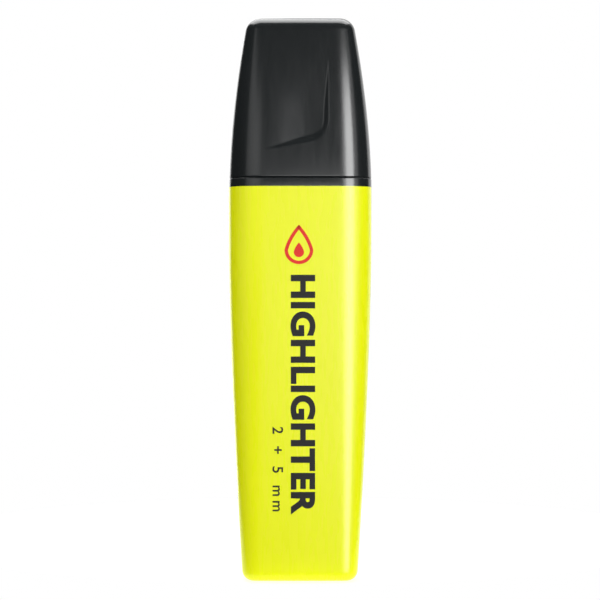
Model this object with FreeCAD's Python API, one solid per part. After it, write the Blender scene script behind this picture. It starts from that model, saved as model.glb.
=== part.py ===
import FreeCAD, Part
import math
import os

# A flat, wedge-shaped highlighter pen with its cap on, standing on the flat end of its barrel.
# Millimetres. X is the pen's width, Y its thickness and Z its length, with the nib and the cap at the top.
# The origin is the centre of the flat end that the pen stands on.

Vec = FreeCAD.Vector

# ---- Driving dimensions -------------------------------------------------------------------------------
LENGTH = 105.0          # whole pen with its cap on
WIDTH = 26.8            # widest section, at the collar
DEPTH = 17.0            # thickest section, at the collar
BARREL_TOP = 73.4       # the collar sits on the barrel here
COLLAR_TOP = 75.0       # the cap closes on the collar here
WALL = 1.3              # barrel and cap wall
CROWN = 0.15            # how far the broad faces bulge over their nearly flat part
FLAT_HALF = 8.2         # half of the broad face between its rounded corners, at the collar
END_ROUND = 1.8         # edge radius of the barrel's flat end
CAP_ROUND = 1.9         # edge radius of the cap's top
SEAM_ROUND = 0.2        # small radius on the edges that meet at the seams
SEAT_GAP = 0.05         # between the cap's rim and the collar

# How the outside narrows. Each taper starts at a height and takes this much off each side by its end.
BARREL_TAPER_FROM = 62.0
BARREL_TAPER_EASE = 0.06    # share of the length over which that taper sets in
BARREL_TAPER_POWER = 1.45
BARREL_WIDTH_DROP = 2.65
BARREL_DEPTH_DROP = 2.3
CAP_TAPER_FROM = 73.0
CAP_TAPER_POWER = 1.75
CAP_WIDTH_DROP = 3.48
CAP_DEPTH_DROP = 3.5
CAP_FLAT_DROP = 0.85

# Ink reservoir, and the ribs that hold it clear of the barrel's wall.
CORE_WIDTH = 16.4
CORE_DEPTH = 8.8
FILM = 0.12
CORE_BOTTOM = 3.0
CORE_TOP = 64.5
FLOOR = 1.6             # thickness of the barrel's closed end
RIB = 0.9               # rib thickness
RIB_GAP = 0.08          # ribs to film
RIB_TOP = 63.0
RIB_LEAD = 1.6          # sloping lead-in at the top of each rib
BROAD_RIB_X = 4.6       # the ribs on the broad faces stand this far either side of the middle

# Front section.
SKIRT_BOTTOM = 66.0
SKIRT_GAP = 0.05        # skirt to barrel
SKIRT_WALL = 1.4
SNAP_Z = 70.2           # centre of the ring that snaps into the barrel
SNAP_HEIGHT = 1.0
SNAP_DEPTH = 0.3
SNAP_ROOM = 0.1         # the ring's groove in the barrel is this much bigger all round
NECK_WIDTH = 23.1
NECK_DEPTH = 13.3
NECK_CORNER = 3.4
NECK_TOP = 81.0
NECK_WALL = 1.2
BEAD_Z = 78.2           # the beads that the cap clicks over
BEAD_HALF_LENGTH = 5.5
BEAD_RADIUS = 0.55
BEAD_PROUD = 0.15
SHOULDER_TOP = 84.4
NOZZLE_TOP = 92.6
NOZZLE_BASE = (12.4, 9.2, 3.2)      # width, depth and corner radius
NOZZLE_TIP = (9.4, 6.6, 2.4)
SOCKET = (8.0, 6.2, 1.4)            # tube that holds the nib inside the section
SOCKET_BOTTOM = 69.0
VENT_WIDTH = 0.9        # air grooves beside the nib
VENT_DEPTH = 0.45
SKIRT_CHAMFER = 0.5
RING_SINK = 0.05        # the snap ring starts this far inside the skirt's face
NECK_ROUND = 0.9        # edge radii of the neck's top, the shoulder's top and the nozzle's tip
SHOULDER_ROUND = 1.2
NOZZLE_ROUND = 0.5
RIB_SINK = 0.3          # the ribs run this far into what they join
CORE_PLAY = 0.1         # reservoir to the ribs above it
COLLAR_THICK = 1.0      # solid plastic left under the collar's top
NECK_ROOF = 0.8         # and under the neck's top

# Nib.
NIB_WIDTH = 5.2
NIB_DEPTH = 3.6
NIB_CORNER = 0.5
NIB_TOP = 99.4
NIB_SLANT = 36.0        # degrees that the writing edge falls across the width
NIB_BEVEL = 24.0        # degrees that the broad faces lean in towards that edge
NIB_EDGE = 1.5          # thickness left at the writing edge
TAIL_TOP = 71.0
TAIL = (3.8, 2.4, 0.4)
TAIL_BOTTOM = 58.0
TAIL_TIP = (1.2, 0.8, 0.3)
TAIL_TAPER = 3.0        # length over which the tail comes to that tip

# Cap inside.
CAP_CEILING = 1.6
CAP_BEAD_Z = 76.9
CAP_BEAD_GAP = 0.05     # cap beads to neck beads as they pass
SLEEVE_WALL = 0.75
SLEEVE_GAP = 0.06       # sleeve to nozzle where it seals
SLEEVE_BOTTOM = 85.0
SLEEVE_TOP = 101.6
SLEEVE_TIP = (8.8, 6.8, 2.4)
SLEEVE_ROUND = 0.5
CAP_RIB = 1.0
CAP_RIB_BOTTOM = 92.0
CAP_POST = (5.0, 3.6, 1.0)      # width, depth and corner radius of the post above the sleeve

# Finger scoop on each broad face of the cap: a sloping floor that ends at a J-shaped step.
SCOOP_EDGE_X = 5.35     # the step's straight side
SCOOP_CORNER_Z = 85.8   # where that side starts to turn
SCOOP_RADIUS = 4.1
SCOOP_TAIL_FALL = 10.6  # degrees that the tail drops away from the corner
SCOOP_TOP_Z = 99.0      # the step fades out here
SCOOP_TAIL_X = -4.5     # and here
SCOOP_FLOOR_SLOPE = 4.6     # degrees
SCOOP_STEP_SLOPE = 26.0     # degrees
SCOOP_BLEND = 0.10      # depth over which floor and step run into each other
SCOOP_ACROSS = (-8.6, 7.2, 53)      # left and right edge of the surface that cuts it, and its columns
SCOOP_ALONG = (78.6, 101.8, 78)     # foot and top of that surface, and its rows

# Solids that are fused or cut reach past each other by this much.
OVERLAP = 0.5
BEYOND = 6.0
HAIR = 0.01              # and faces that must not lie exactly on each other stand this far apart


# ---- Outline helpers ----------------------------------------------------------------------------------
def rounded_rectangle(width, depth, radius, z):
    """Closed wire of straight sides and round corners, at height z."""
    x, y = width / 2, depth / 2
    edges = []
    for turn in range(4):
        half, other = (x, y) if turn % 2 == 0 else (y, x)
        spin = FreeCAD.Rotation(Vec(0, 0, 1), 90 * turn)
        lift = Vec(0, 0, z)
        start = Vec(half, -(other - radius), 0)
        end = Vec(half, other - radius, 0)
        middle = Vec(half - radius, other - radius, 0) + Vec(radius, radius, 0) * math.sqrt(0.5)
        after = Vec(half - radius, other, 0)
        start, end, middle, after = (spin.multVec(p) + lift for p in (start, end, middle, after))
        edges.append(Part.LineSegment(start, end).toShape())
        edges.append(Part.Arc(end, middle, after).toShape())
    return Part.Wire(edges)


def arc_between(centre, radius, start, end):
    """The short arc of a circle from start to end."""
    middle = (start + end) * 0.5 - centre
    middle = centre + middle.normalize() * radius
    return Part.Arc(start, middle, end).toShape()


def crowned_rectangle(width, depth, radius, z):
    """Closed wire of four slightly bulging sides joined by tangent corner arcs, at height z."""
    flat_x, flat_y = width / 2 - radius, depth / 2 - radius
    side_crown = CROWN * flat_y / flat_x
    broad = (flat_x ** 2 + CROWN ** 2) / (2 * CROWN)
    narrow = (flat_y ** 2 + side_crown ** 2) / (2 * side_crown)
    broad_centre, narrow_centre = depth / 2 - broad, width / 2 - narrow
    # The corner's centre is where circles about the two sides' centres cross.
    span = math.hypot(narrow_centre, broad_centre)
    reach, other = broad - radius, narrow - radius
    along = (reach ** 2 - other ** 2 + span ** 2) / (2 * span)
    across = math.sqrt(reach ** 2 - along ** 2)
    step = Vec(narrow_centre, -broad_centre, 0) * (1 / span)
    corner = Vec(0, broad_centre, 0) + step * along
    sideways = Vec(-step.y, step.x, 0) * across
    corner = max(corner + sideways, corner - sideways, key=lambda p: p.x + p.y)
    top, side = Vec(0, broad_centre, 0), Vec(narrow_centre, 0, 0)
    on_broad = top + (corner - top).normalize() * broad
    on_side = side + (corner - side).normalize() * narrow

    def flip(p, sx, sy):
        return Vec(p.x * sx, p.y * sy, z)

    edges = []
    for sx, sy in ((1, 1), (-1, 1), (-1, -1), (1, -1)):
        turned = sx * sy > 0
        first, second = (on_side, on_broad) if turned else (on_broad, on_side)
        start, end = flip(first, sx, sy), flip(second, sx, sy)
        edges.append(arc_between(flip(corner, sx, sy), radius, start, end))
        if turned:
            edges.append(arc_between(flip(top, 1, sy), broad, end, flip(on_broad, -sx, sy)))
        else:
            edges.append(arc_between(flip(side, sx, 1), narrow, end, flip(on_side, sx, -sy)))
    return Part.Wire(edges)


def loft(wires, ruled=False):
    return Part.makeLoft(wires, True, ruled)


def prism(width, depth, radius, bottom, top):
    """Straight block with round corners from one height to another."""
    return Part.Face(rounded_rectangle(width, depth, radius, bottom)).extrude(Vec(0, 0, top - bottom))


def crowned_prism(size, bottom, top):
    """Straight block with the pen's own crowned section from one height to another."""
    return Part.Face(crowned_rectangle(*size, bottom)).extrude(Vec(0, 0, top - bottom))


def block(x, y, z):
    """Box from three (low, high) pairs."""
    return Part.makeBox(x[1] - x[0], y[1] - y[0], z[1] - z[0], Vec(x[0], y[0], z[0]))


def edges_at(shape, z):
    """Every edge that lies in the plane at height z."""
    return [e for e in shape.Edges if abs(e.BoundBox.ZMin - z) < 1e-4 and abs(e.BoundBox.ZMax - z) < 1e-4]


# ---- Outside shape ------------------------------------------------------------------------------------
def barrel_size(z):
    """Width, depth and corner radius of the barrel's outside at height z."""
    run = (BARREL_TAPER_FROM - z) / BARREL_TAPER_FROM
    share = ((run + math.hypot(run, BARREL_TAPER_EASE)) / 2) ** BARREL_TAPER_POWER
    width = WIDTH - 2 * BARREL_WIDTH_DROP * share
    return width, DEPTH - 2 * BARREL_DEPTH_DROP * share, width / 2 - FLAT_HALF


def cap_size(z):
    """Width, depth and corner radius of the cap's outside at height z."""
    share = ((z - CAP_TAPER_FROM) / (LENGTH - CAP_TAPER_FROM)) ** CAP_TAPER_POWER
    width = WIDTH - 2 * CAP_WIDTH_DROP * share
    return width, DEPTH - 2 * CAP_DEPTH_DROP * share, width / 2 - FLAT_HALF + CAP_FLAT_DROP * share


def inset(size, by):
    width, depth, radius = size
    return width - 2 * by, depth - 2 * by, radius - by


def heights(bottom, top, count):
    return [bottom + (top - bottom) * i / (count - 1) for i in range(count)]


def shell(size_at, bottom, top, by=0.0, count=13):
    """Smooth solid through sections of the outside shape, each drawn in by the same amount."""
    return loft([crowned_rectangle(*inset(size_at(z), by), z) for z in heights(bottom, top, count)])


# ---- Barrel -------------------------------------------------------------------------------------------
def barrel_rib(reach, angle, offset):
    """One rib from the wall to the reservoir. It stands on the side that angle points to."""
    foot, inner = WIDTH, reach + RIB_GAP
    outline = Part.makePolygon([
        Vec(foot, 0, FLOOR - OVERLAP), Vec(inner, 0, FLOOR - OVERLAP), Vec(inner, 0, RIB_TOP - RIB_LEAD),
        Vec(inner + RIB_LEAD, 0, RIB_TOP), Vec(foot, 0, RIB_TOP), Vec(foot, 0, FLOOR - OVERLAP)])
    rib = Part.Face(outline).extrude(Vec(0, RIB, 0))
    rib.translate(Vec(0, offset - RIB / 2, 0))
    rib.rotate(Vec(0, 0, 0), Vec(0, 0, 1), angle)
    return rib


def barrel_ribs():
    film_x, film_y = CORE_WIDTH / 2 + FILM, CORE_DEPTH / 2 + FILM
    ribs = [barrel_rib(film_x, angle, 0) for angle in (0, 180)]
    for angle in (90, 270):
        ribs += [barrel_rib(film_y, angle, side * BROAD_RIB_X) for side in (-1, 1)]
    # Two low bars on the closed end leave air under the reservoir.
    for side in (-1, 1):
        x = side * CORE_WIDTH / 4
        ribs.append(block((x - RIB / 2, x + RIB / 2), (-DEPTH, DEPTH), (FLOOR - OVERLAP, CORE_BOTTOM)))
    return ribs


def barrel():
    outside = shell(barrel_size, 0.0, BARREL_TOP)
    outside = outside.makeFillet(END_ROUND, edges_at(outside, 0.0))
    outside = outside.makeFillet(SEAM_ROUND / 2, edges_at(outside, BARREL_TOP))
    hollow = shell(barrel_size, FLOOR, BARREL_TOP + 1, by=WALL)
    body = outside.cut(hollow)
    half = SNAP_HEIGHT / 2 + SNAP_ROOM
    groove = inset(barrel_size(SNAP_Z), WALL - SNAP_DEPTH - SNAP_ROOM)
    body = body.cut(crowned_prism(groove, SNAP_Z - half, SNAP_Z + half))
    ribs = barrel_ribs()
    mid_wall = shell(barrel_size, FLOOR - OVERLAP, BARREL_TOP, by=WALL / 2)
    inside_only = ribs[0].multiFuse(ribs[1:]).common(mid_wall)
    return body.fuse(inside_only).removeSplitter()


# ---- Front section ------------------------------------------------------------------------------------
def nib_channel():
    """The slot that the nib is pressed into, with an air groove on each broad side of it."""
    slot = prism(NIB_WIDTH, NIB_DEPTH, NIB_CORNER, SOCKET_BOTTOM - 1, NOZZLE_TOP + 1)
    half = NIB_DEPTH / 2 + VENT_DEPTH
    groove = block((-VENT_WIDTH / 2, VENT_WIDTH / 2), (-half, half), (SOCKET_BOTTOM - 1, NOZZLE_TOP + 1))
    return slot.fuse(groove)


def snap_bead(width_half, y, radius, z):
    """Half-round bar along X that stands out of a broad face, with ball ends."""
    bar = Part.makeCylinder(radius, 2 * width_half, Vec(-width_half, y, z), Vec(1, 0, 0))
    return bar.multiFuse([Part.makeSphere(radius, Vec(side * width_half, y, z)) for side in (-1, 1)])


def skirt():
    size = inset(barrel_size(BARREL_TOP), WALL + SKIRT_GAP)
    outer = crowned_prism(size, SKIRT_BOTTOM, BARREL_TOP)
    outer = outer.makeChamfer(SKIRT_CHAMFER, edges_at(outer, SKIRT_BOTTOM))
    low, high = SNAP_Z - SNAP_HEIGHT / 2, SNAP_Z + SNAP_HEIGHT / 2
    rings = ((RING_SINK, low), (-SNAP_DEPTH, SNAP_Z), (RING_SINK, high))
    ring = loft([crowned_rectangle(*inset(size, by), z) for by, z in rings], ruled=True)
    return outer.fuse(ring)


def front_section():
    flange = shell(barrel_size, BARREL_TOP, COLLAR_TOP, count=3)
    flange = flange.makeFillet(SEAM_ROUND, edges_at(flange, COLLAR_TOP))
    neck = prism(NECK_WIDTH, NECK_DEPTH, NECK_CORNER, COLLAR_TOP - OVERLAP, NECK_TOP)
    shoulder = loft([rounded_rectangle(NECK_WIDTH, NECK_DEPTH, NECK_CORNER, NECK_TOP),
                     rounded_rectangle(*NOZZLE_BASE, SHOULDER_TOP)], ruled=True)
    nozzle = loft([rounded_rectangle(*NOZZLE_BASE, SHOULDER_TOP),
                   rounded_rectangle(*NOZZLE_TIP, NOZZLE_TOP)], ruled=True)
    solid = flange.multiFuse([neck, shoulder, nozzle, skirt()]).removeSplitter()
    solid = solid.makeFillet(NOZZLE_ROUND, edges_at(solid, NOZZLE_TOP))
    solid = solid.makeFillet(NECK_ROUND, edges_at(solid, NECK_TOP))
    solid = solid.makeFillet(SHOULDER_ROUND, edges_at(solid, SHOULDER_TOP))
    bead_y = NECK_DEPTH / 2 + BEAD_PROUD - BEAD_RADIUS
    beads = [snap_bead(BEAD_HALF_LENGTH, side * bead_y, BEAD_RADIUS, BEAD_Z) for side in (-1, 1)]
    # The inside is hollow up to the shoulder, apart from the socket that grips the nib.
    skirt_size = inset(barrel_size(BARREL_TOP), WALL + SKIRT_GAP + SKIRT_WALL)
    hollow = prism(*skirt_size, SKIRT_BOTTOM - 1, COLLAR_TOP - COLLAR_THICK)
    hollow = hollow.fuse(prism(NECK_WIDTH - 2 * NECK_WALL, NECK_DEPTH - 2 * NECK_WALL,
                               NECK_CORNER - NECK_WALL, COLLAR_TOP - COLLAR_THICK - OVERLAP,
                               NECK_TOP - NECK_ROOF))
    socket = prism(*SOCKET, SOCKET_BOTTOM, NECK_TOP)
    holding_ribs = []
    for turn in range(4):
        inner_end, outer_end = SOCKET[turn % 2] / 2 - RIB_SINK, skirt_size[turn % 2] / 2 + RIB_SINK
        rib = block((inner_end, outer_end), (-RIB / 2, RIB / 2), (CORE_TOP + CORE_PLAY, NECK_TOP))
        rib.rotate(Vec(0, 0, 0), Vec(0, 0, 1), 90 * turn)
        holding_ribs.append(rib)
    inner = socket.multiFuse(holding_ribs)
    body = solid.multiFuse(beads).cut(hollow).fuse(inner.common(hollow))
    return body.cut(nib_channel()).removeSplitter()


# ---- Nib and reservoir --------------------------------------------------------------------------------
def nib():
    head = prism(NIB_WIDTH, NIB_DEPTH, NIB_CORNER, TAIL_TOP, NIB_TOP + 3)
    slant = math.tan(math.radians(NIB_SLANT))
    lean = math.tan(math.radians(NIB_BEVEL))
    fall = NIB_WIDTH * slant
    far = BEYOND
    # One slanted cut through the writing edge takes off everything above it.
    low_end = Vec(-NIB_WIDTH, -far, NIB_TOP - 1.5 * fall)
    high_end = Vec(2 * NIB_WIDTH, -far, NIB_TOP + 1.5 * fall)
    above = Vec(0, 0, 3 * far)
    over = Part.Face(Part.makePolygon([low_end, low_end + above, high_end + above, high_end, low_end]))
    over = over.extrude(Vec(0, 2 * far, 0))
    head = head.cut(over)
    # The bevels follow the slanted edge, so they are wedges leaning along it.
    for side in (-1, 1):
        edge = side * NIB_EDGE / 2
        wedge = Part.Face(Part.makePolygon([
            Vec(0, edge, 0), Vec(0, edge + side * far * lean, -far), Vec(0, side * far, -far),
            Vec(0, side * far, far), Vec(0, edge, far), Vec(0, edge, 0)]))
        along = Vec(-4 * NIB_WIDTH, 0, -4 * NIB_WIDTH * slant)
        wedge.translate(Vec(NIB_WIDTH / 2, 0, NIB_TOP) - along / 2)
        head = head.cut(wedge.extrude(along))
    tail = loft([rounded_rectangle(*TAIL_TIP, TAIL_BOTTOM),
                 rounded_rectangle(*TAIL, TAIL_BOTTOM + TAIL_TAPER),
                 rounded_rectangle(*TAIL, TAIL_TOP)], ruled=True)
    return head.fuse(tail).removeSplitter()


def oval(extra, bottom, top):
    """Straight-sided oval bar of the reservoir's outline, grown by extra."""
    depth = CORE_DEPTH + 2 * extra
    return prism(CORE_WIDTH + 2 * extra, depth, depth / 2 - HAIR, bottom, top)


def reservoir_core(nib_solid):
    return oval(0.0, CORE_BOTTOM, CORE_TOP).cut(nib_solid)


def reservoir_film():
    return oval(FILM, CORE_BOTTOM, CORE_TOP).cut(oval(0.0, CORE_BOTTOM - 1, CORE_TOP + 1))


# ---- Cap ----------------------------------------------------------------------------------------------
def inside_step(x, z):
    """Distance in from the J-shaped step, on the face's own plane. It is negative outside the scoop."""
    fall = math.radians(SCOOP_TAIL_FALL)
    centre_x, centre_z = SCOOP_EDGE_X - SCOOP_RADIUS, SCOOP_CORNER_Z
    dx, dz = x - centre_x, z - centre_z
    from_tail = -dx * math.sin(fall) + dz * math.cos(fall) + SCOOP_RADIUS
    past_tail_start = -dx * math.cos(fall) - dz * math.sin(fall) < 0
    if dz < 0 and past_tail_start:
        return SCOOP_RADIUS - math.hypot(dx, dz)
    return min(SCOOP_EDGE_X - x, from_tail)


def scoop_floor(x, z):
    """Depth of the sloping floor, which starts level with the face between the step's two ends."""
    fall = math.radians(SCOOP_TAIL_FALL)
    start_x = SCOOP_TAIL_X
    tail_run = SCOOP_EDGE_X - SCOOP_RADIUS - start_x
    start_z = SCOOP_CORNER_Z - SCOOP_RADIUS / math.cos(fall) - tail_run * math.tan(fall)
    along_x, along_z = SCOOP_EDGE_X - start_x, SCOOP_TOP_Z - start_z
    length = math.hypot(along_x, along_z)
    across = ((x - start_x) * along_z - (z - start_z) * along_x) / length
    return across * math.tan(math.radians(SCOOP_FLOOR_SLOPE))


def scoop_depth(x, z):
    floor = scoop_floor(x, z)
    step = inside_step(x, z) * math.tan(math.radians(SCOOP_STEP_SLOPE))
    mix = max(SCOOP_BLEND - abs(floor - step), 0.0) / SCOOP_BLEND
    return min(floor, step) - mix ** 2 * SCOOP_BLEND / 4


def broad_face_y(x, z):
    """Y of the cap's front face."""
    width, depth, radius = cap_size(z)
    return -depth / 2 + CROWN * (x / (width / 2 - radius)) ** 2


def scoop_tool():
    """Everything in front of the scoop's floor. It cuts only where the floor lies below the face."""
    columns = heights(*SCOOP_ACROSS)
    rows = heights(*SCOOP_ALONG)
    points = [[Vec(x, broad_face_y(x, z) + scoop_depth(x, z), z) for z in rows] for x in columns]
    surface = Part.BSplineSurface()
    surface.interpolate(points)
    return surface.toShape().extrude(Vec(0, -DEPTH / 2, 0))


def sleeve_size(z, gap):
    """Width, depth and corner radius of the sleeve's inside, which follows the nozzle and then narrows."""
    if z <= NOZZLE_TOP:
        share = (z - SHOULDER_TOP) / (NOZZLE_TOP - SHOULDER_TOP)
        low, high = NOZZLE_BASE, NOZZLE_TIP
    else:
        share = (z - NOZZLE_TOP) / (SLEEVE_TOP - NOZZLE_TOP)
        low, high = NOZZLE_TIP, inset(SLEEVE_TIP, SLEEVE_WALL + gap)
    return tuple(a + (b - a) * share + 2 * gap for a, b in zip(low, high))


def sleeve_outside(extra=0.0):
    out = SLEEVE_GAP + SLEEVE_WALL + extra
    levels = (SLEEVE_BOTTOM, NOZZLE_TOP, SLEEVE_TOP)
    sizes = [inset(sleeve_size(z, 0.0), -out) for z in levels]
    return loft([rounded_rectangle(*size, z) for size, z in zip(sizes, levels)], ruled=True)


def cap_seal_sleeve():
    levels = (SLEEVE_BOTTOM - HAIR, NOZZLE_TOP, SLEEVE_TOP - SLEEVE_WALL)
    sizes = [inset(sleeve_size(z, 0.0), -SLEEVE_GAP) for z in levels]
    hollow = loft([rounded_rectangle(*size, z) for size, z in zip(sizes, levels)], ruled=True)
    outside = sleeve_outside()
    outside = outside.makeFillet(SLEEVE_ROUND, edges_at(outside, SLEEVE_TOP))
    return outside.cut(hollow)


def cap_ribs(inner):
    """Four ribs and a post that hold the sleeve, cut to the cap's inside."""
    top = LENGTH - CAP_CEILING / 2
    ribs = [block((-WIDTH / 2, WIDTH / 2), (-CAP_RIB / 2, CAP_RIB / 2), (CAP_RIB_BOTTOM, top)),
            block((-CAP_RIB / 2, CAP_RIB / 2), (-DEPTH / 2, DEPTH / 2), (CAP_RIB_BOTTOM, top))]
    post = prism(*CAP_POST, SLEEVE_TOP, top)
    return ribs[0].multiFuse([ribs[1], post]).common(inner).cut(sleeve_outside(extra=2 * HAIR))


def cap_shell():
    bottom = COLLAR_TOP + SEAT_GAP
    outside = shell(cap_size, bottom, LENGTH)
    outside = outside.makeFillet(CAP_ROUND, edges_at(outside, LENGTH))
    outside = outside.makeFillet(SEAM_ROUND, edges_at(outside, bottom))
    front = scoop_tool()
    back = front.copy()
    back.rotate(Vec(0, 0, 0), Vec(0, 0, 1), 180)
    outside = outside.cut(front).cut(back)
    hollow = shell(cap_size, COLLAR_TOP - 1, LENGTH - CAP_CEILING, by=WALL)
    body = outside.cut(hollow)
    bead_y = NECK_DEPTH / 2 + BEAD_PROUD + CAP_BEAD_GAP + BEAD_RADIUS
    beads = [snap_bead(BEAD_HALF_LENGTH, side * bead_y, BEAD_RADIUS, CAP_BEAD_Z) for side in (-1, 1)]
    within = shell(cap_size, bottom, LENGTH - CAP_CEILING / 2, by=WALL / 2)
    details = cap_ribs(within).multiFuse([bead.common(within) for bead in beads])
    return body.fuse(details).removeSplitter()


# ---- Export -------------------------------------------------------------------------------------------
def main():
    os.makedirs("parts", exist_ok=True)
    nib_solid = nib()
    pieces = {
        "barrel": barrel(),
        "front_section": front_section(),
        "nib": nib_solid,
        "reservoir_core": reservoir_core(nib_solid),
        "reservoir_film": reservoir_film(),
        "cap_shell": cap_shell(),
        "cap_seal_sleeve": cap_seal_sleeve(),
    }
    for name, shape in pieces.items():
        assert shape.isValid() and len(shape.Solids) == 1, name
        shape.exportStep(f"parts/{name}.step")
        print(f"{name}: {shape.Volume / 1000:.2f} cm3")


main()
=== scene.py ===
# %% [markdown]
# # A flat, wedge-shaped highlighter
#
# The pen stands on the closed end of its yellow barrel, with a black push-on cap on top. The frame that is
# loaded here already holds every real piece at its true size: barrel, front section, nib, ink reservoir,
# cap and the sleeve that seals the nib. This lesson gives the pieces their looks. The four pieces that show,
# barrel, front section, nib and cap, are modelled again as smooth meshes in the place of the frame's own
# pieces, and the others keep their shape and get a finish.

# %% Open the fixed frame
import math

import bmesh
import bpy
from mathutils import Matrix, Vector


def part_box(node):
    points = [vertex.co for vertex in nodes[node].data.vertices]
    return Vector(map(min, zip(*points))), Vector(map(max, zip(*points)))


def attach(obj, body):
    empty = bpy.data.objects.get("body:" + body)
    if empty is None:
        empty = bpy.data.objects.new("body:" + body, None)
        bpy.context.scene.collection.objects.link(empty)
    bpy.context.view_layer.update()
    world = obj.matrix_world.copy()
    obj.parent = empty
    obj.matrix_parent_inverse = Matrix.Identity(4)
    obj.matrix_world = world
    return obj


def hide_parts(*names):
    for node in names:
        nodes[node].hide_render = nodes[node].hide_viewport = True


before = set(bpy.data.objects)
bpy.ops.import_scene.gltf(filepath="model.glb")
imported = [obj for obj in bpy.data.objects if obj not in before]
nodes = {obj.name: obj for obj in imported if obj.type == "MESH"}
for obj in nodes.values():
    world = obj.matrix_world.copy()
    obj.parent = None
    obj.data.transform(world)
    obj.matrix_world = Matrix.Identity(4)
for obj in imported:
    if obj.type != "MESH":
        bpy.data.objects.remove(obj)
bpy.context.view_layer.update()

MM = 0.001
print("pieces in the frame:", sorted(nodes))

# %% [markdown]
# Everything is worked out in millimetres and turned into metres when a mesh is finished, so that a number in
# this file can be checked with a ruler. The driving sizes are read from the frame.

# %% Driving sizes from the frame


def box_mm(node):
    """Lowest and highest corners of one of the frame's pieces, in millimetres."""
    return tuple(Vector(corner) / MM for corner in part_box(node))


front_high = box_mm("front_section")[1]
cap_low, cap_high = box_mm("cap_shell")
nib_low, nib_high = box_mm("nib")
HALF_WIDTH = front_high.x
HALF_DEPTH = front_high.y
BARREL_TOP = box_mm("barrel")[1].z
CAP_FOOT = cap_low.z
LENGTH = cap_high.z
print(f"{2 * HALF_WIDTH:.1f} x {2 * HALF_DEPTH:.1f} x {LENGTH:.1f} mm, cap from {CAP_FOOT:.2f} mm")

# %% [markdown]
# ## Camera
#
# A long lens looks level at the middle of the pen from 400 mm away. The lens is worked out from the height
# that it has to take in, with a little air above and below the pen.

# %% Camera
VIEW_DISTANCE = 400.0
VIEW_HEIGHT = 113.07
BELOW_MIDDLE = 0.15     # the camera is this much lower than the middle of the pen
SENSOR = 36.0
camera = bpy.data.objects.new("camera", bpy.data.cameras.new("camera"))
bpy.context.scene.collection.objects.link(camera)
camera.data.sensor_width = SENSOR
camera.data.lens = SENSOR * VIEW_DISTANCE / VIEW_HEIGHT
camera.location = (0, -VIEW_DISTANCE * MM, (LENGTH / 2 - BELOW_MIDDLE) * MM)
camera.rotation_euler = (math.radians(90), 0, 0)
bpy.context.scene.camera = camera
print(f"lens {camera.data.lens:.1f} mm")

# %% [markdown]
# ## The outside shape
#
# Barrel and cap share one kind of section: a wide rectangle whose corners start to turn gently and tighten
# towards the edge, which is what gives moulded plastic its soft highlights. A plain circular corner would
# make the highlight start with a hard line. The sections narrow to both ends by a smooth law.

# %% Sections of barrel and cap
FLAT_HALF = 8.2         # the broad face less its round corners, at the widest section
CORNER_REACH = 1.35     # a corner starts this much earlier than a circular one would
CORNER_FULLNESS = 2.8   # 2 is a circle, more is fuller with a gentler start
CROWN = 0.15            # bulge of the faces
WALL = 1.3
UNIT_CORNER = 0.5       # corner radius of the unit bar, whose half width and half depth are 1

BARREL_TAPER_FROM = 62.0
BARREL_TAPER_EASE = 0.06
BARREL_TAPER_POWER = 1.45
BARREL_WIDTH_DROP = 2.65
BARREL_DEPTH_DROP = 2.3
CAP_TAPER_FROM = 73.0
CAP_TAPER_POWER = 1.75
CAP_WIDTH_DROP = 3.48
CAP_DEPTH_DROP = 3.5
CAP_FLAT_DROP = 0.85


def barrel_section(z):
    """Half width, half depth and corner size of the barrel, z mm above its flat end."""
    run = (BARREL_TAPER_FROM - z) / BARREL_TAPER_FROM
    share = ((run + math.hypot(run, BARREL_TAPER_EASE)) / 2) ** BARREL_TAPER_POWER
    half_width = HALF_WIDTH - BARREL_WIDTH_DROP * share
    return half_width, HALF_DEPTH - BARREL_DEPTH_DROP * share, half_width - FLAT_HALF


def cap_section(z):
    """The same three sizes of the cap."""
    share = ((z - CAP_TAPER_FROM) / (LENGTH - CAP_TAPER_FROM)) ** CAP_TAPER_POWER
    half_width = HALF_WIDTH - CAP_WIDTH_DROP * share
    corner = half_width - FLAT_HALF + CAP_FLAT_DROP * share
    return half_width, HALF_DEPTH - CAP_DEPTH_DROP * share, corner


def on_section(x, y, section, inset=0.0):
    """Moves a point of the unit bar onto a section that is drawn in by inset."""
    half_width, half_depth, corner = (size - inset for size in section)
    reach = CORNER_REACH * corner
    flat = 1 - UNIT_CORNER
    u, v = abs(x) - flat, abs(y) - flat
    if u > 0 and v > 0:
        full = (u ** CORNER_FULLNESS + v ** CORNER_FULLNESS) ** (-1 / CORNER_FULLNESS)
        u, v = u * full, v * full
        new_x, new_y = half_width - reach + u * reach, half_depth - reach + v * reach
    elif u > 0:
        new_x, new_y = half_width, abs(y) / flat * (half_depth - reach)
    else:
        new_x, new_y = abs(x) / flat * (half_width - reach), half_depth
    # The crown takes the same share off every point, so the faces stay smooth into their corners.
    new_y *= 1 - CROWN / half_depth * (new_x / half_width) ** 2
    new_x *= 1 - CROWN / half_width * (new_y / half_depth) ** 2
    return math.copysign(new_x, x), math.copysign(new_y, y)


# %% [markdown]
# A bar starts as a cube. Its four long edges are bevelled to quarter circles, the faces are cut into
# columns and the length into rings, and then every vertex is moved onto the section of its own ring.

# %% A bar cut into rings
CORNER_SEGMENTS = 16
SAME_HEIGHT = 1e-4      # heights closer than this count as one


def spans(edge, axis, length):
    """True if an edge runs along one axis for at least that length, and isn't over twice as long."""
    first, second = (vertex.co for vertex in edge.verts)
    return abs(first[axis] - second[axis]) > length and (first - second).length < 2.01 * length


def is_at(face, z):
    """True if a whole face lies at height z."""
    return all(abs(v.co.z - z) < SAME_HEIGHT for v in face.verts)


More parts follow.
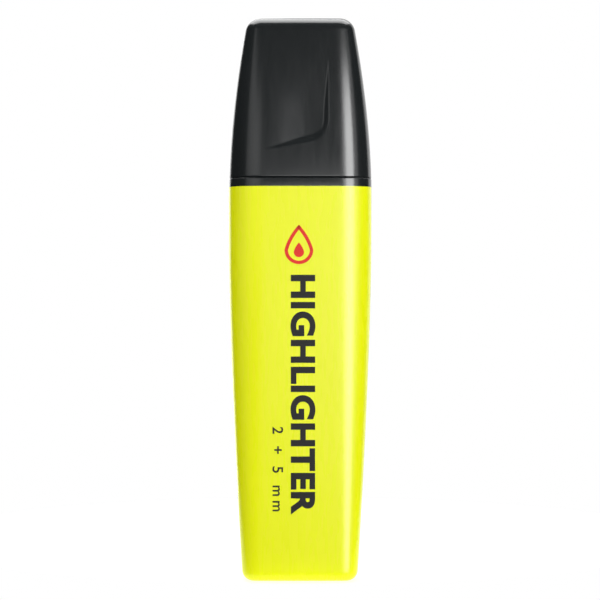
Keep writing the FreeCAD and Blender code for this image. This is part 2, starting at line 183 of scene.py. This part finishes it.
def bar(rings, columns, side_columns, inset=0.0):
    """A closed bar through rings, which are pairs of a height and a section, drawn in by inset."""
    bm = bmesh.new()
    bmesh.ops.create_cube(bm, size=2.0)
    upright = [e for e in bm.edges if spans(e, 2, 1)]
    bmesh.ops.bevel(bm, geom=upright, offset=UNIT_CORNER, segments=CORNER_SEGMENTS, profile=0.5,
                    affect="EDGES", material=-1)
    for axis, count in ((0, columns), (1, side_columns)):
        across = [e for e in bm.edges if spans(e, axis, 0.9)]
        bmesh.ops.subdivide_edges(bm, edges=across, cuts=count - 1, use_grid_fill=True)
    upright = [e for e in bm.edges if spans(e, 2, 1)]
    bmesh.ops.subdivide_edges(bm, edges=upright, cuts=len(rings) - 2, use_grid_fill=True)
    for end in (-1, 1):
        bmesh.ops.dissolve_faces(bm, faces=[f for f in bm.faces if is_at(f, end)])
    for v in bm.verts:
        z, section = rings[round((v.co.z + 1) / 2 * (len(rings) - 1))]
        x, y = on_section(v.co.x, v.co.y, section, inset)
        v.co = (x, y, z)
    return bm


def rings_at(section_at, heights):
    return [(z, section_at(z)) for z in heights]


def evenly(low, high, count):
    return [low + (high - low) * i / (count - 1) for i in range(count)]


def end_face(bm, z):
    """The flat face that closes a bar at height z."""
    return next(f for f in bm.faces if is_at(f, z))


def drawn_in(section, by):
    return tuple(size - by for size in section)


def rounded(z, section_at, radius, way=1, steps=8):
    """Rings that round the edge of an end at height z. Way is 1 at a top end, and -1 at a bottom end."""
    rings = []
    for turn in evenly(0.0, math.pi / 2, steps + 1)[::way]:
        height = z - way * radius * (1 - math.sin(turn))
        rings.append((height, drawn_in(section_at(height), radius * (1 - math.cos(turn)))))
    return rings


# %% [markdown]
# A hollow piece is two bars, one inside the other. Both lose their face at the mouth, and the two open loops
# are bridged, which makes the rim. The result is one closed surface with a real wall.

# %% Outer and inner bar to one shell


def add_all(bm, other):
    """Moves another bmesh's geometry into bm."""
    mesh = bpy.data.meshes.new("moving")
    other.to_mesh(mesh)
    other.free()
    bm.from_mesh(mesh)
    bpy.data.meshes.remove(mesh)


def hollow(outer, inner, mouth):
    """Joins two bars into one shell that is open at the height of its mouth."""
    for bm in (outer, inner):
        bmesh.ops.delete(bm, geom=[end_face(bm, mouth)], context="FACES_ONLY")
    bmesh.ops.reverse_faces(inner, faces=inner.faces)
    add_all(outer, inner)
    bmesh.ops.bridge_loops(outer, edges=[e for e in outer.edges if e.is_boundary])
    bmesh.ops.recalc_face_normals(outer, faces=outer.faces)
    return outer


def finished(name, bm, sharp=32):
    """Turns a bmesh in millimetres into a smooth-shaded object in metres."""
    bmesh.ops.scale(bm, vec=(MM, MM, MM), verts=bm.verts)
    mesh = bpy.data.meshes.new(name)
    bm.to_mesh(mesh)
    bm.free()
    mesh.shade_smooth()
    mesh.set_sharp_from_angle(angle=math.radians(sharp))
    piece = bpy.data.objects.new(name, mesh)
    bpy.context.scene.collection.objects.link(piece)
    triangles = sum(len(p.vertices) - 2 for p in mesh.polygons)
    print(f"{name}: {triangles} triangles")
    return piece


# %% [markdown]
# ## Barrel
#
# The real barrel is injection moulded in one shot: a 1.3 mm wall, closed at the flat end, with a generous
# radius round that end. A scaled cube could not give the slow taper, so it is one bar of many rings with a
# second bar inside it.

# %% Model the barrel
BARREL_END_ROUND = 1.8
BARREL_FLOOR = 1.6
COLUMNS = (24, 8)       # over a broad face and over a narrow one
BARREL_RINGS = 95
RING_GAP = 0.7          # height left free over the rounded end
END_BAND = 0.3          # a narrow band round an end face keeps the shading of the rounded edge off it

barrel_rings = rounded(0.0, barrel_section, BARREL_END_ROUND, way=-1)
barrel_rings += rings_at(barrel_section, evenly(BARREL_END_ROUND + RING_GAP, BARREL_TOP, BARREL_RINGS))
barrel_outer = bar(barrel_rings, *COLUMNS)
bmesh.ops.inset_individual(barrel_outer, faces=[end_face(barrel_outer, 0.0)], thickness=END_BAND)
barrel_inner = bar(rings_at(barrel_section, evenly(BARREL_FLOOR, BARREL_TOP, 12)), *COLUMNS, inset=WALL)
barrel_piece = finished("barrel_shell", hollow(barrel_outer, barrel_inner, BARREL_TOP))
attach(barrel_piece, "pen")
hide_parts("barrel")

# %% [markdown]
# ## Front section
#
# A black moulding plugs the barrel. Its collar shows as a thin band under the cap, and the neck, shoulder
# and nozzle come into view when the cap is off. It is one more bar: two rings at the same height make a
# step, and rings that draw in along a quarter circle make a round edge. The small beads on the neck are
# what the cap clicks over.

# %% Model the front section
COLLAR_TOP = 75.0
SKIRT_FOOT = 66.0
SKIRT_INSET = 1.35
COLLAR_ROUND = 0.2
NECK = (11.55, 6.65, 3.4)
NECK_TOP = 81.0
NECK_ROUND = 0.9
# Up the sloping shoulder and into the nozzle: each ring's height, half width, half depth and corner size.
SHOULDER = ((81.6, 9.4, 5.5, 3.2), (83.6, 6.75, 4.85, 3.2), (84.4, 6.25, 4.6, 3.2), (85.3, 6.0, 4.45, 3.1))
NOZZLE_TIP = (4.7, 3.3, 2.4)
NOZZLE_TOP = front_high.z
NOZZLE_ROUND = 0.5
BEAD_RADIUS = 0.55
BEAD_HALF_LENGTH = 5.5
NECK_BEAD = (6.25, 78.2)    # distance from the middle plane, and height
CAP_BEAD = (7.4, 76.9)


def add_bead(bm, y, z):
    """A round bar along X with ball ends, stretched from a ball."""
    turned = Matrix.Rotation(math.radians(90), 4, "Y")
    ball = bmesh.ops.create_uvsphere(bm, u_segments=20, v_segments=11, radius=BEAD_RADIUS, matrix=turned)
    for v in ball["verts"]:
        v.co += Vector((math.copysign(BEAD_HALF_LENGTH, v.co.x), y, z))


skirt = drawn_in(barrel_section(BARREL_TOP), SKIRT_INSET)
front_rings = [(SKIRT_FOOT, skirt), (BARREL_TOP, skirt), (BARREL_TOP, barrel_section(BARREL_TOP))]
front_rings += rounded(COLLAR_TOP, barrel_section, COLLAR_ROUND, steps=4)
front_rings += [(COLLAR_TOP, NECK)] + rounded(NECK_TOP, lambda z: NECK, NECK_ROUND)
front_rings += [(z, section) for z, *section in SHOULDER]
front_rings += rounded(NOZZLE_TOP, lambda z: NOZZLE_TIP, NOZZLE_ROUND, steps=5)
front = bar(front_rings, *COLUMNS)
for side in (-1, 1):
    add_bead(front, side * NECK_BEAD[0], NECK_BEAD[1])
front_piece = finished("collar_neck_and_nozzle", front)
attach(front_piece, "pen")
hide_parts("front_section")

# %% [markdown]
# ## Nib
#
# The nib is ground from a rod of bonded fibre: a flat bar, cut at a slant across its width and thinned to a
# writing edge on both broad sides. The same cuts are made here, with a plane each. The rod's thin tail
# reaches down into the reservoir and drinks from it.

# %% Model the nib
NIB_SIZE = (5.2, 3.6)
NIB_CORNER = 0.5
NIB_SLANT = math.radians(36)
NIB_BEVEL = math.radians(24)
NIB_EDGE = 1.5
NIB_SPARE = 3.0         # cut away by the slant
GROUND_ROUND = 0.16     # the ground edges are worn this round
TAIL_TOP = 71.0
TAIL_BOTTOM = nib_low.z
TAIL_INSET = 0.6
TAIL_TAPER = 0.5


def cut_away(bm, point, normal):
    """Removes what is in front of a plane and closes the cut."""
    everything = bm.verts[:] + bm.edges[:] + bm.faces[:]
    cut = bmesh.ops.bisect_plane(bm, geom=everything, plane_co=point, plane_no=normal, clear_outer=True)
    bmesh.ops.contextual_create(bm, geom=[e for e in cut["geom_cut"] if isinstance(e, bmesh.types.BMEdge)])


nib_bm = bmesh.new()
bmesh.ops.create_cube(nib_bm, size=1.0)
rod_length = nib_high.z + NIB_SPARE - TAIL_TOP
bmesh.ops.scale(nib_bm, vec=(*NIB_SIZE, rod_length), verts=nib_bm.verts)
bmesh.ops.translate(nib_bm, vec=(0, 0, TAIL_TOP + rod_length / 2), verts=nib_bm.verts)
rod_corners = [e for e in nib_bm.edges if spans(e, 2, 0.9 * rod_length)]
bmesh.ops.bevel(nib_bm, geom=rod_corners, offset=NIB_CORNER, segments=5, profile=0.5,
                affect="EDGES", material=-1)
writing_edge = Vector((math.cos(NIB_SLANT), 0, math.sin(NIB_SLANT)))
edge_end = Vector((NIB_SIZE[0] / 2, 0, nib_high.z))
square_up = Vector((-math.sin(NIB_SLANT), 0, math.cos(NIB_SLANT)))
cut_away(nib_bm, edge_end, square_up)
for side in (-1, 1):
    down_the_bevel = Vector((0, side * math.tan(NIB_BEVEL), -1))
    lean = writing_edge.cross(down_the_bevel).normalized()
    cut_away(nib_bm, edge_end + Vector((0, side * NIB_EDGE / 2, 0)), lean if lean.y * side > 0 else -lean)
ground_edges = [e for e in nib_bm.edges if e.calc_face_angle(0) > math.radians(15)
                and min(v.co.z for v in e.verts) > TAIL_TOP + 1]
bmesh.ops.bevel(nib_bm, geom=ground_edges, offset=GROUND_ROUND, segments=3, profile=0.5,
                affect="EDGES", material=-1)
foot = end_face(nib_bm, TAIL_TOP)
bmesh.ops.inset_individual(nib_bm, faces=[foot], thickness=TAIL_INSET)
tail = bmesh.ops.extrude_face_region(nib_bm, geom=[foot])
tail_verts = [v for v in tail["geom"] if isinstance(v, bmesh.types.BMVert)]
bmesh.ops.translate(nib_bm, vec=(0, 0, TAIL_BOTTOM - TAIL_TOP), verts=tail_verts)
bmesh.ops.scale(nib_bm, vec=(TAIL_TAPER, TAIL_TAPER, 1), verts=tail_verts)
bmesh.ops.delete(nib_bm, geom=[foot], context="FACES_ONLY")
bmesh.ops.recalc_face_normals(nib_bm, faces=nib_bm.faces)
nib_piece = finished("chisel_nib", nib_bm)
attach(nib_piece, "pen")
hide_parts("nib")

# %% [markdown]
# ## Cap
#
# The cap narrows as a wedge. Each broad face has a finger scoop: the face sinks gently towards a J-shaped
# step, which is what a fingertip pushes against. The scoop is a depth worked out for every vertex of the
# face, so its floor has no edge where it starts, and only the step is crisp. The back has the same scoop,
# turned by half a turn.

# %% The scoop's depth
STEP_X = 5.35           # the straight side of the J
TURN_Z = 85.8           # where it starts to turn
TURN_RADIUS = 4.1
TAIL_FALL = math.radians(10.6)      # how far the J's tail drops away from level
FADE_TOP_Z = 99.5       # the floor comes up to the face here
FADE_TAIL_X = -7.0      # and here
FULL_X = 2.5            # and is deepest from here to the step
FULL_DEPTH = 0.52
STEP_SLOPE = math.tan(math.radians(27.5))
FLOOR_BLEND = 0.05


def ease(value, start, end):
    """0 at start, 1 at end, smooth at both."""
    share = min(max((value - start) / (end - start), 0.0), 1.0)
    return share * share * (3 - 2 * share)


def smooth_min(a, b, blend):
    """The lower of two values, rounded off where they are closer than blend."""
    mix = max(blend - abs(a - b), 0.0) / blend
    return min(a, b) - mix * mix * blend / 4


def inside_j(x, z):
    """Distance in from the J. It is negative outside."""
    dx, dz = x - (STEP_X - TURN_RADIUS), z - TURN_Z
    past_turn = dx * math.cos(TAIL_FALL) + dz * math.sin(TAIL_FALL) < 0
    if dz < 0 and not past_turn:
        return TURN_RADIUS - math.hypot(dx, dz)
    from_tail = TURN_RADIUS - dx * math.sin(TAIL_FALL) + dz * math.cos(TAIL_FALL)
    return min(STEP_X - x, from_tail)


def scoop_depth(x, z):
    """How far the face sinks at a point: as deep as the floor or, close to the J, as its step."""
    floor = FULL_DEPTH * ease(z, FADE_TOP_Z, TURN_Z) * ease(x, FADE_TAIL_X, FULL_X)
    step = inside_j(x, z) * STEP_SLOPE
    return max(smooth_min(floor, step, FLOOR_BLEND), 0.0)


# %% Model the cap
CAP_END_ROUND = 2.1
RIM_ROUND = 0.22
CEILING = 1.6
FACE_Y = 3.5            # every vertex further out than this belongs to a broad face
CAP_COLUMNS = (84, 10)  # enough columns and rings to draw the step crisply
CAP_RINGS = 138
CAP_FIRST_RING = CAP_FOOT + 0.4
CAP_LAST_RING = LENGTH - CAP_END_ROUND - 0.2

cap_rings = rounded(CAP_FOOT, cap_section, RIM_ROUND, way=-1, steps=3)
cap_rings += rings_at(cap_section, evenly(CAP_FIRST_RING, CAP_LAST_RING, CAP_RINGS))
cap_rings += rounded(LENGTH, cap_section, CAP_END_ROUND, steps=10)
cap_outer = bar(cap_rings, *CAP_COLUMNS)
for v in cap_outer.verts:
    side = -1 if v.co.y < 0 else 1
    if abs(v.co.y) > FACE_Y:
        v.co.y -= side * scoop_depth(-side * v.co.x, v.co.z)
bmesh.ops.inset_individual(cap_outer, faces=[end_face(cap_outer, LENGTH)], thickness=END_BAND)
cap_inner = bar(rings_at(cap_section, evenly(CAP_FOOT, LENGTH - CEILING, 24)), *CAP_COLUMNS, inset=WALL)
cap = hollow(cap_outer, cap_inner, CAP_FOOT)

# %% [markdown]
# Inside, four ribs hold the sleeve that seals the nib, and a bead on each broad side clicks over the neck.
# They only show when the cap is off, but they are what makes it look moulded and not carved.

# %% Ribs and beads inside the cap
RIB = 1.0
RIB_FOOT = 92.0
RIB_FOOT_REACH = (5.6, 4.2)     # from the middle to the sleeve, across the width and the depth
RIB_TOP_REACH = (5.2, 4.0)
RIB_SINK = 0.2                  # how far a rib runs into the ceiling

for turn in range(4):
    along, across = turn % 2, 1 - turn % 2
    way = 1 if turn < 2 else -1
    wall_at = (HALF_WIDTH - CAP_WIDTH_DROP, HALF_DEPTH - CAP_DEPTH_DROP)[along] - WALL / 2
    rib = bmesh.ops.create_cube(cap, size=1.0)
    for v in rib["verts"]:
        top, outer = v.co.z > 0, v.co[along] > 0
        reach = RIB_TOP_REACH if top else RIB_FOOT_REACH
        v.co[across] *= RIB
        v.co[along] = way * (wall_at if outer else reach[along])
        v.co.z = LENGTH - CEILING + RIB_SINK if top else RIB_FOOT
    if way < 0:
        bmesh.ops.reverse_faces(cap, faces=list({f for v in rib["verts"] for f in v.link_faces}))
for side in (-1, 1):
    add_bead(cap, side * CAP_BEAD[0], CAP_BEAD[1])
cap_piece = finished("cap_shell_outside", cap)
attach(cap_piece, "cap")
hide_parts("cap_shell")

# %% [markdown]
# ## Print
#
# The barrel is screen printed: a bold word down its length, a small line of the two line widths that the nib
# draws, and a drop of ink above.
# A print is a layer of ink a few hundredths of a millimetre thick, so each one is a thin closed solid that
# follows the barrel's own surface, with half its thickness sunk in. A picture on the surface would blur up
# close and would not come along as a shape.

# %% Lay a flat shape on the barrel
INK = 0.03              # how far the ink stands out, and how far it reaches in
SAME_POINT = 1e-5       # points closer than this are merged


def lay_on_barrel(bm):
    """Wraps a flat shape onto the barrel's front. Its own z, from -INK to INK, is the height of the ink."""
    for v in bm.verts:
        half_width, half_depth, _ = barrel_section(v.co.y)
        face = half_depth - CROWN * (v.co.x / half_width) ** 2
        v.co = (v.co.x, -face - v.co.z, v.co.y)
    bmesh.ops.recalc_face_normals(bm, faces=bm.faces)


def lettering(name, text, size, centre, weight, spacing):
    """A line of text that reads down the barrel. Size is its length and the height of its letters, weight is
    how much bolder than the plain type it is, and spacing stretches the gaps between letters."""
    words = bpy.data.curves.new(name, "FONT")
    words.body = text
    words.offset = weight
    words.space_character = spacing
    words.extrude = INK
    words.resolution_u = 8
    loose = bpy.data.objects.new(name, words)
    bpy.context.scene.collection.objects.link(loose)
    bpy.context.view_layer.update()
    bm = bmesh.new()
    mesh = bpy.data.meshes.new_from_object(loose)
    bm.from_mesh(mesh)
    bpy.data.objects.remove(loose)
    bpy.data.meshes.remove(mesh)
    bmesh.ops.remove_doubles(bm, verts=bm.verts, dist=SAME_POINT)
    left, right = min(v.co.x for v in bm.verts), max(v.co.x for v in bm.verts)
    foot, top = min(v.co.y for v in bm.verts), max(v.co.y for v in bm.verts)
    for v in bm.verts:
        along = (v.co.x - left) / (right - left) - 0.5
        up = (v.co.y - foot) / (top - foot) - 0.5
        v.co = (centre[0] + up * size[1], centre[1] - along * size[0], v.co.z)
    lay_on_barrel(bm)
    return finished(name, bm)


word_print = lettering("print_word", "HIGHLIGHTER", (44.4, 4.6), (0.55, 34.8), 0.044, 1.1)
line_print = lettering("print_line_widths", "2 + 5 mm", (15.7, 2.0), (-4.1, 21.05), 0.012, 1.45)

# %% [markdown]
# The drop starts as a circle whose top half is drawn to a point. Insetting it leaves an outline as wide as
# the ink line, and the inner face goes. A small solid drop sits inside.

# %% The ink drop
DROP_CENTRE = (-0.2, 62.6)
DROP_SIZE = (5.3, 7.25)
DROP_LINE = 0.62
INNER_CENTRE = (-0.2, 61.6)
INNER_SIZE = (1.9, 2.7)
POINT_HEIGHT = 1.75     # of the point over the middle of the round part, whose radius is 1
POINT_TAPER = 0.42      # how quickly the sides draw in towards the point


def drop(bm, size, centre, line=None):
    """Adds a drop of a width and a height: an outline if line gives its width, or else a solid one."""
    width, height = size
    ring = bmesh.ops.create_circle(bm, cap_ends=True, segments=72, radius=1.0)
    face = ring["verts"][0].link_faces[0]
    for v in ring["verts"]:
        x, y = v.co.x, v.co.y
        if y > 0:
            x, y = x * (1 - y) ** POINT_TAPER, y * POINT_HEIGHT
        up = (y + 1) / (1 + POINT_HEIGHT) - 0.5
        v.co = (centre[0] + x * width / 2, centre[1] + up * height, -INK)
    body = [face]
    if line:
        rim = bmesh.ops.inset_individual(bm, faces=[face], thickness=line, use_even_offset=True)
        bmesh.ops.delete(bm, geom=[face], context="FACES")
        body = rim["faces"]
    grown = bmesh.ops.extrude_face_region(bm, geom=body, use_keep_orig=True)
    moved = [v for v in grown["geom"] if isinstance(v, bmesh.types.BMVert)]
    bmesh.ops.translate(bm, vec=(0, 0, 2 * INK), verts=moved)


drop_bm = bmesh.new()
drop(drop_bm, DROP_SIZE, DROP_CENTRE, line=DROP_LINE)
drop(drop_bm, INNER_SIZE, INNER_CENTRE)
lay_on_barrel(drop_bm)
drop_print = finished("print_ink_drop", drop_bm)
for piece in (word_print, line_print, drop_print):
    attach(piece, "pen")

# %% [markdown]
# ## Finishes
#
# Every finish is worked out from the object's own coordinates, in metres, so its grain keeps its size in
# millimetres wherever the piece goes. Colours are written as on a screen and turned into the linear values
# that the shaders need.

# %% Colours and nodes
MIDDLE_HALF = {"From Min": 0.25, "From Max": 0.75}      # a noise seldom leaves this range


def colour(code):
    """Linear red, green, blue and alpha of an sRGB hex colour."""
    parts = [int(code[i:i + 2], 16) / 255 for i in (0, 2, 4)]
    return [c / 12.92 if c <= 0.04045 else ((c + 0.055) / 1.055) ** 2.4 for c in parts] + [1.0]


def node(tree, kind, inputs=None, **settings):
    """Adds a node. An input is given a value, or another node or its output to link to. A node alone means
    its first output."""
    made = tree.nodes.new("ShaderNode" + kind)
    for key, value in settings.items():
        setattr(made, key, value)
    for key, value in (inputs or {}).items():
        if isinstance(value, bpy.types.Node):
            value = value.outputs[0]
        if isinstance(value, bpy.types.NodeSocket):
            tree.links.new(value, made.inputs[key])
        else:
            made.inputs[key].default_value = value
    return made


def start_finish(name):
    """An empty material, its node tree and the place on the piece."""
    material = bpy.data.materials.new(name)
    material.use_nodes = True
    tree = material.node_tree
    tree.nodes.clear()
    return material, tree, node(tree, "TexCoord").outputs["Object"]


def end_finish(tree, shader):
    node(tree, "OutputMaterial", {"Surface": shader})


def pattern(tree, place, size, detail=2.0, stretch=1.0):
    """Noise with features size mm across, and stretch times as long along the pen."""
    scale = 1 / (size * MM)
    stretched = node(tree, "Mapping", {"Vector": place, "Scale": (scale, scale, scale / stretch)})
    return node(tree, "TexNoise", {"Vector": stretched, "Scale": 1.0, "Detail": detail})


def two_tones(tree, amount, dark, light):
    """A colour between dark and light, as the amount rises."""
    share = node(tree, "MapRange", {"Value": amount, **MIDDLE_HALF})
    return node(tree, "Mix", {0: share, 6: colour(dark), 7: colour(light)}, data_type="RGBA").outputs[2]


def feel(tree, rubbed, roughness, height, depth):
    """The shader's roughness, between two values as rubbed rises, and its relief, depth mm high."""
    low, high = roughness
    rough = node(tree, "MapRange", {"Value": rubbed, **MIDDLE_HALF, "To Min": low, "To Max": high})
    return {"Roughness": rough, "Normal": node(tree, "Bump", {"Height": height, "Distance": depth * MM})}


# %% [markdown]
# Barrel and black parts are injection-moulded polypropylene. The eye sees three things: the colour is a
# little uneven where the pigment followed the flow of the melt, the mould's spark-eroded surface leaves a
# fine grain that softens the highlight, and handling leaves faint rub marks along the length. The real grain
# is about 0.05 mm, too fine to show at this distance, so it is drawn at 0.35 mm.

# %% Moulded plastic
GRAIN = 0.35
FLOW = 6.0
RUB_MARKS = 0.8
# A fluorescent dye turns blue and ultraviolet light to yellow, so the barrel looks brighter than its light.
# Here that is a painted glow: an even emission that lifts the whole barrel, its shaded sides as much as its
# lit face.
PAINTED_FLUORESCENT_GLOW = {"Emission Color": colour("EBF10F"), "Emission Strength": 0.17}


def moulded(name, dark, light, roughness, grain_depth, ior, **own):
    """Moulded polypropylene. Own are more of the shader's inputs."""
    material, tree, place = start_finish(name)
    flow = pattern(tree, place, FLOW, detail=3.0, stretch=4.0)
    rubbed = pattern(tree, place, RUB_MARKS, detail=4.0, stretch=7.0)
    grain = pattern(tree, place, GRAIN)
    end_finish(tree, node(tree, "BsdfPrincipled", {
        "Base Color": two_tones(tree, flow, dark, light), "IOR": ior,
        **feel(tree, rubbed, roughness, grain, grain_depth), **own}))
    return material


# The yellow finish carries the painted glow, an even emission over the whole barrel.
yellow_plastic = moulded("moulded_polypropylene_fluorescent_yellow", "E8EE0C", "EDF312",
                         (0.26, 0.29), 0.003, 1.44, **PAINTED_FLUORESCENT_GLOW)
black_plastic = moulded("moulded_polypropylene_black", "1C1F20", "212425", (0.19, 0.23), 0.0015, 1.58)
barrel_piece.data.materials.append(yellow_plastic)
for piece in (front_piece, cap_piece):
    piece.data.materials.append(black_plastic)

# %% [markdown]
# Nib and reservoir are polyester fibre, bonded in a bundle and soaked with ink. The fibres run along the
# pen, so the noise is stretched that way. They are 0.02 mm thick, and are drawn several times as thick.

# %% Bonded fibre
NIB_FIBRE = 0.12
RESERVOIR_FIBRE = 0.3
INK_CLOUD = 2.5


def bonded_fibre(name, dark, light, size, depth):
    """Fibres size mm thick, which stand depth mm proud."""
    material, tree, place = start_finish(name)
    fibres = pattern(tree, place, size, detail=3.0, stretch=30.0)
    soaked = pattern(tree, place, INK_CLOUD)
    end_finish(tree, node(tree, "BsdfPrincipled", {
        "Base Color": two_tones(tree, fibres, dark, light), "Sheen Weight": 0.15,
        **feel(tree, soaked, (0.62, 0.85), fibres, depth)}))
    return material


nib_finish = bonded_fibre("bonded_polyester_fibre_with_ink", "C9D400", "EEF43A", NIB_FIBRE, 0.02)
nib_piece.data.materials.append(nib_finish)
reservoir_finish = bonded_fibre("bonded_fibre_reservoir", "CFDA1E", "F0F56E", RESERVOIR_FIBRE, 0.05)
nodes["reservoir_core"].material_slots[0].material = reservoir_finish

# %% [markdown]
# A thin clear film holds the reservoir together, with shallow wrinkles from being wrapped. The sleeve that
# seals the nib is milky polyethylene, which lets a little light in and looks waxy.

# %% Film and seal
WRINKLE = 1.5
CLOUD = 3.0


def clear_film(name):
    """A shiny film, whose wrinkles are 0.03 mm high."""
    material, tree, place = start_finish(name)
    wrinkles = pattern(tree, place, WRINKLE, detail=3.0, stretch=6.0)
    raised = node(tree, "Bump", {"Height": wrinkles, "Distance": 0.03 * MM})
    end_finish(tree, node(tree, "BsdfPrincipled", {
        "Base Color": two_tones(tree, wrinkles, "F2F5E4", "FFFFFF"), "Roughness": 0.12, "IOR": 1.49,
        "Transmission Weight": 0.9, "Normal": raised}))
    return material


def milky_seal(name):
    """Polyethylene, which light enters by about 1 mm."""
    material, tree, place = start_finish(name)
    cloud = pattern(tree, place, CLOUD, detail=3.0)
    grain = pattern(tree, place, GRAIN)
    end_finish(tree, node(tree, "BsdfPrincipled", {
        "Base Color": two_tones(tree, cloud, "DFDFD6", "ECEBE3"), "IOR": 1.51,
        "Subsurface Weight": 0.4, "Subsurface Scale": 1.0 * MM,
        **feel(tree, cloud, (0.32, 0.42), grain, 0.002)}))
    return material


nodes["reservoir_film"].material_slots[0].material = clear_film("wrapped_polypropylene_film")
nodes["cap_seal_sleeve"].material_slots[0].material = milky_seal("moulded_polyethylene_milky")

# %% [markdown]
# Screen-printing ink dries to a film that is duller than the plastic, with the faint mesh of the screen
# left in it. The threads are about 0.06 mm apart, and are drawn at 0.3 mm.

# %% Printing ink
SCREEN_MESH = 0.3


def printing_ink(name, dark, light):
    """Dried ink, with the mesh of the screen 0.003 mm high in it."""
    material, tree, place = start_finish(name)
    mesh_marks = pattern(tree, place, SCREEN_MESH)
    end_finish(tree, node(tree, "BsdfPrincipled", {
        "Base Color": two_tones(tree, mesh_marks, dark, light), "Specular IOR Level": 0.3,
        **feel(tree, mesh_marks, (0.5, 0.6), mesh_marks, 0.003)}))
    return material


black_ink = printing_ink("screen_printing_ink_black", "0B0B0D", "121214")
for piece in (word_print, line_print):
    piece.data.materials.append(black_ink)
drop_print.data.materials.append(printing_ink("screen_printing_ink_red", "EA1C08", "F5260E"))
print("finishes:", sorted(m.name for m in bpy.data.materials if m.users))

# %% [markdown]
# ## Floor and light
#
# The pen stands on a white table top in front of white. A large soft box on the right draws the long
# highlight, weaker cards on the left and in front lift the broad faces, and a light from above and behind
# picks out the top edge. The table glows, so that it melts into the white around it.

# %% Floor
TABLE_RADIUS = 84.0
TABLE_BEHIND = 76.0     # its middle lies this far behind the pen, so it lights the pen's foot only a little
TABLE_BELOW = 0.02      # keeps its face clear of the pen's flat end
SPECKLE = 2.0
floor_bm = bmesh.new()
bmesh.ops.create_circle(floor_bm, cap_ends=True, segments=96, radius=TABLE_RADIUS)
bmesh.ops.translate(floor_bm, vec=(0.0, TABLE_BEHIND, -TABLE_BELOW), verts=floor_bm.verts)
table_top = finished("table_top", floor_bm)
table_finish, tree, place = start_finish("white_laminate")
end_finish(tree, node(tree, "BsdfPrincipled", {
    "Base Color": two_tones(tree, pattern(tree, place, SPECKLE), "7A7A7A", "7E7E7E"), "Roughness": 0.7,
    "Emission Color": colour("FFFFFF"), "Emission Strength": 0.75}))
table_top.data.materials.append(table_finish)

# %% World
AROUND = 0.02       # what the pen sees of the room, next to the white that the camera sees
studio = bpy.data.worlds.new("studio")
bpy.context.scene.world = studio
studio.use_nodes = True
studio.node_tree.nodes.clear()
white = colour("FFFFFF")
room = node(studio.node_tree, "Background", {"Color": white, "Strength": AROUND})
backdrop = node(studio.node_tree, "Background", {"Color": white, "Strength": 1.0})
seen = node(studio.node_tree, "LightPath").outputs["Is Camera Ray"]
both = node(studio.node_tree, "MixShader", {0: seen, 1: room, 2: backdrop})
node(studio.node_tree, "OutputWorld", {"Surface": both})

# %% Lights
AIM = Vector((0, 0, 52.0)) * MM
LIGHT_DISTANCE = 900.0 * MM


def soft_box(name, azimuth, elevation, width, height, radiance, use="both"):
    """A soft light as the pen sees it: its place and its size are angles in degrees. Use is both, shine or
    fill: a shine light only draws highlights, and a fill light only brightens."""
    across, up = math.radians(azimuth), math.radians(elevation)
    direction = Vector((math.sin(across) * math.cos(up), -math.cos(across) * math.cos(up), math.sin(up)))
    light = bpy.data.lights.new(name, "AREA")
    light.shape = "RECTANGLE"
    light.size = 2 * LIGHT_DISTANCE * math.tan(math.radians(width / 2))
    light.size_y = 2 * LIGHT_DISTANCE * math.tan(math.radians(height / 2))
    light.energy = radiance * math.pi * light.size * light.size_y
    lamp = bpy.data.objects.new(name, light)
    lamp.location = AIM + direction * LIGHT_DISTANCE
    lamp.rotation_euler = (-direction).to_track_quat("-Z", "Y").to_euler()
    lamp.visible_camera = False
    lamp.visible_diffuse = use != "shine"
    lamp.visible_glossy = use != "fill"
    bpy.context.scene.collection.objects.link(lamp)


for name, box in {
    # name: azimuth, elevation, width and height in degrees, radiance, and use
    "key": (30, 2, 24, 44, 10.8, "shine"),
    "key_edge": (16, 8, 5, 34, 2.5, "shine"),
    "fill_right": (38, 16, 60, 50, 2.8, "fill"),
    "fill_left": (-60, 16, 50, 50, 1.3, "fill"),
    "card_left": (-27, 12, 12, 30, 0.9, "both"),
    "card_far_left": (-38, 18, 10, 40, 0.6, "both"),
    "card_middle": (-14, 12, 14, 20, 1.1, "both"),
    "card_low": (3, -2, 10, 18, 2.8, "both"),
    "side_right": (52, 8, 16, 40, 1.2, "both"),
    "back_left": (-160, 15, 34, 50, 2.5, "shine"),
    "back_right": (150, 15, 40, 50, 1.0, "shine"),
    "top": (180, 70, 70, 50, 5.0, "both"),
}.items():
    soft_box(name, *box)
bpy.context.scene.view_settings.view_transform = "Standard"
